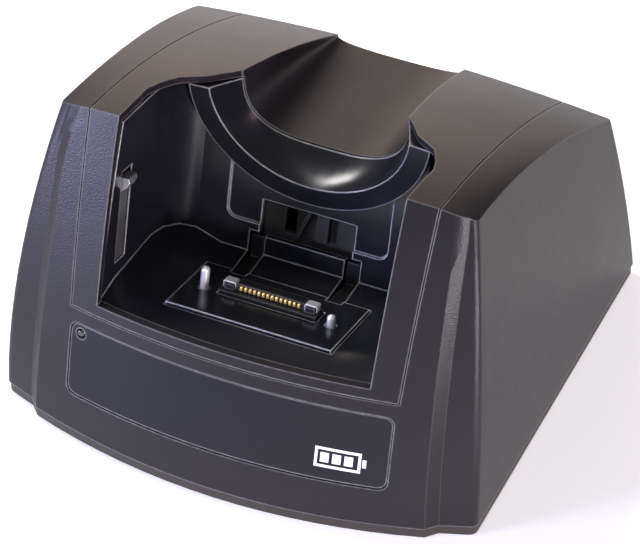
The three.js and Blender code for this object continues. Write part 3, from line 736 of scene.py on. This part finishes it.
@dataclass
class Connector(Assembly):
    """The floating plate with its connector, pins and yoke."""

    body: str = "floating_plate"
    wire: float = 0.3 * MM
    turns: float = 3.5

    def build(self) -> None:
        """Make the plate and all that is on it."""
        self.refine("connector_plate", self.body, PLATE, 0.4 * MM)
        self.refine("connector_housing", self.body, MOULDED, 0.12 * MM)
        self.refine("plate_yoke", self.body, MOULDED, 0.3 * MM)
        self.refine("guide_pin", self.body, NICKEL, 0.1 * MM)
        self.refine("detect_plunger", "detect_plunger", NICKEL, 0.1 * MM)
        for side in Side:
            self.refine(f"shield_clip_{side.name.lower()}", self.body, NICKEL, 0.08 * MM)
        for node in sorted(self.frame["nodes"]):
            if node.startswith("contact_"):
                self.refine(node, node, GOLD, 0.08 * MM)
        self.refine("float_tray", "cradle", MOULDED, 0.3 * MM)
        for number in range(1, 5):
            self.spring(f"float_spring_{number}")

    def spring(self, node: str) -> None:
        """A coil spring between the tray and the plate.

        Args:
            node: the spring's CAD node.
        """
        float_joint = next(joint for joint in self.frame["joints"] if joint["name"] == "plate_float")
        down = Vector(float_joint["axis"]).normalized()
        low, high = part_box(node)
        middle = (low + high) / 2
        radius = (high.x - low.x) / 2 - self.wire
        lean = -math.atan2(down.y, -down.z)
        length = ((high.z - low.z) - 2 * radius * abs(math.sin(lean)) - 2 * self.wire) / math.cos(lean)
        recipe = Recipe(f"{node}_recipe", turns=self.turns, radius=radius, length=length, wire=self.wire)
        helix = recipe.add("GeometryNodeCurveSpiral", {}, {
            "Resolution": 32, "Rotations": recipe.size("turns"), "Start Radius": recipe.size("radius"),
            "End Radius": recipe.size("radius"), "Height": recipe.size("length")})
        section = recipe.add("GeometryNodeCurvePrimitiveCircle", {"mode": "RADIUS"}, {
            "Resolution": 12, "Radius": recipe.size("wire")})
        coil = recipe.add("GeometryNodeCurveToMesh", {}, {
            "Curve": helix, "Profile Curve": section, "Fill Caps": True})
        centred = recipe.add("GeometryNodeTransform", {}, {
            "Geometry": coil, "Translation": (0, 0, -length / 2)})
        leaned = recipe.add("GeometryNodeTransform", {}, {
            "Geometry": centred, "Translation": middle, "Rotation": (lean, 0, 0)})
        piece = recipe.bake(leaned, f"{node}_skin", STEEL)
        smooth(piece, 60)
        self.hand_over(piece, "cradle", STEEL, node)
        travel = float_joint["range_m"][1]
        tuple(middle + down * (length / 2))
        1 - travel / length
        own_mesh(piece)


@dataclass
class Electronics(Assembly):
    """The board, the sockets, the ribbon and the ballast."""

    chip_columns: int = 9
    chip_rows: int = 4
    chip_seed: int = 7
    chip_size: Point = (6 * MM, 4 * MM, 1.4 * MM)
    chip_smallest: Point = (0.5, 0.5, 0.7)
    chip_largest: Point = (1.3, 1.2, 1.2)
    chip_field: tuple[float, float] = (0.72, 0.32)
    chip_row_place: float = 0.38
    chip_sink: float = 0.36
    chip_edge: float = 0.12 * MM

    def build(self) -> None:
        """Make the inner pieces."""
        self.refine("main_board", "cradle", BOARD, 0.15 * MM)
        self.refine("ballast_plate", "cradle", IRON, 0.4 * MM)
        self.refine("connector_ribbon", "cradle", AMBER, 0.1 * MM)
        self.refine("dc_jack", "cradle", MOULDED, 0.2 * MM)
        self.refine("usb_socket", "cradle", STEEL, 0.2 * MM)
        self.refine("serial_socket", "cradle", STEEL, 0.15 * MM)
        self.chips()

    def chips(self) -> None:
        """Rows of small chips on the main board, in sizes drawn with a fixed seed."""
        low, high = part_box("main_board")
        across, along = (high.x - low.x) * self.chip_field[0], (high.y - low.y) * self.chip_field[1]
        recipe = Recipe("board_chips", across=across, along=along, columns=self.chip_columns,
                        rows=self.chip_rows, seed=self.chip_seed)
        spots = recipe.add("GeometryNodeMeshGrid", {}, {
            "Size X": recipe.size("across"), "Size Y": recipe.size("along"),
            "Vertices X": recipe.size("columns"), "Vertices Y": recipe.size("rows")})
        block = recipe.add("GeometryNodeMeshCube", {}, {"Size": self.chip_size})
        scale = recipe.add("FunctionNodeRandomValue", {"data_type": "FLOAT_VECTOR"}, {
            0: self.chip_smallest, 1: self.chip_largest, "Seed": recipe.size("seed")}, 0)
        copies = recipe.add("GeometryNodeInstanceOnPoints", {}, {
            "Points": spots, "Instance": block, "Scale": scale})
        middle = Vector(((low.x + high.x) / 2, low.y + (high.y - low.y) * self.chip_row_place,
                         high.z + self.chip_size[2] * self.chip_sink))
        placed = recipe.add("GeometryNodeTransform", {}, {"Geometry": copies, "Translation": middle})
        piece = recipe.bake(placed, "board_chips", MOULDED)
        edges = piece.modifiers.new("edges", "BEVEL")
        edges.width = self.chip_edge
        edges.segments = 1
        bake_modifiers(piece)
        self.hand_over(piece, "cradle", MOULDED)


@dataclass(frozen=True)
class Lamp:
    """A soft round light: where it stands, its width in metres, its watts, its colour and its aim."""

    name: str
    place: Point
    size: float
    power: float
    colour: Colour
    target: Point = (0, 0, 0.05)

    def build(self) -> None:
        """Add the light to the scene."""
        data = bpy.data.lights.new(self.name, "AREA")
        data.shape = "DISK"
        data.size = self.size
        data.energy = self.power
        data.color = self.colour
        lamp = bpy.data.objects.new(self.name, data)
        lamp.location = self.place
        aim = Vector(self.target) - Vector(self.place)
        lamp.rotation_euler = aim.to_track_quat("-Z", "Y").to_euler()
        bpy.context.scene.collection.objects.link(lamp)


@dataclass
class Studio:
    """The floor, the lights and the camera."""

    azimuth: float = 24.2
    elevation: float = 41.3
    distance: float = 1.18
    lens: float = 225
    look_at: Point = (0, 0.0053, 0.04)
    offset: tuple[float, float] = (-0.0005, -0.0107)
    floor_size: float = 1.3
    floor_glow: float = 0.45
    floor_white: Colour = (0.9, 0.9, 0.9)
    floor_roughness: float = 0.9
    room_colour: Colour = (0.86, 0.87, 0.9)
    room_light: float = 0.14
    sensor: float = 36
    clip: tuple[float, float] = (0.05, 20)
    lamps: tuple[Lamp, ...] = (
        Lamp("rear_wall", (-0.55, 1.4, 0.4), 0.9, 5, (1, 0.78, 0.64), (0, 0, 0.1)),
        Lamp("key", (-0.9, 0.35, 1.5), 0.5, 17, (1, 0.97, 0.95)),
        Lamp("front_left", (-1.15, -1.15, 0.3), 0.5, 38, (0.62, 0.66, 1)),
        Lamp("front_right", (0.64, -0.64, 0.07), 0.12, 6, (1, 0.92, 1)),
        Lamp("front_top", (0.15, -1.0, 1.1), 0.35, 4, (0.8, 0.86, 1)),
        Lamp("side", (1.4, -0.1, 0.75), 0.7, 7, (1, 0.66, 0.8)),
    )

    def build(self) -> None:
        """Set up the whole studio."""
        self.floor()
        self.light()
        self.camera()
        log.info("studio ready")

    def floor(self) -> None:
        """A plain pale floor and a pale room."""
        bpy.ops.mesh.primitive_plane_add(size=self.floor_size)
        floor = bpy.context.object
        floor.name = "floor"
        made = bpy.data.materials.new("floor_white")
        made.use_nodes = True
        surface = made.node_tree.nodes["Principled BSDF"]
        surface.inputs["Base Color"].default_value = (*self.floor_white, 1)
        surface.inputs["Roughness"].default_value = self.floor_roughness
        surface.inputs["Emission Color"].default_value = (1, 1, 1, 1)
        surface.inputs["Emission Strength"].default_value = self.floor_glow
        floor.data.materials.append(made)
        room = bpy.data.worlds.new("room")
        room.use_nodes = True
        sky = room.node_tree.nodes["Background"]
        sky.inputs["Color"].default_value = (*self.room_colour, 1)
        sky.inputs["Strength"].default_value = self.room_light
        bpy.context.scene.world = room

    def light(self) -> None:
        """Switch on a warm wall behind, cool light from the front and a high soft key."""
        for lamp in self.lamps:
            lamp.build()

    def camera(self) -> None:
        """The camera, level and far away."""
        around, above = math.radians(self.azimuth), math.radians(self.elevation)
        level = math.cos(above)
        back = Vector((math.sin(around) * level, -math.cos(around) * level, math.sin(above)))
        turn = back.to_track_quat("Z", "Y")
        right, up = turn @ Vector((1, 0, 0)), turn @ Vector((0, 1, 0))
        data = bpy.data.cameras.new("camera")
        data.lens = self.lens
        data.sensor_width = self.sensor
        data.clip_start, data.clip_end = self.clip
        camera = bpy.data.objects.new("camera", data)
        camera.rotation_mode = "QUATERNION"
        camera.rotation_quaternion = turn
        shift = right * self.offset[0] + up * self.offset[1]
        camera.location = Vector(self.look_at) + back * self.distance + shift
        bpy.context.scene.collection.objects.link(camera)
        bpy.context.scene.camera = camera


def main() -> None:
    """Build the cradle's looks in order."""
    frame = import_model()
    bpy.context.scene.view_settings.view_transform = "Standard"
    Studio().build()
    Casing(frame).build()
    Pocket(frame).build()
    Connector(frame).build()
    Electronics(frame).build()


if __name__ == "__main__":
    main()
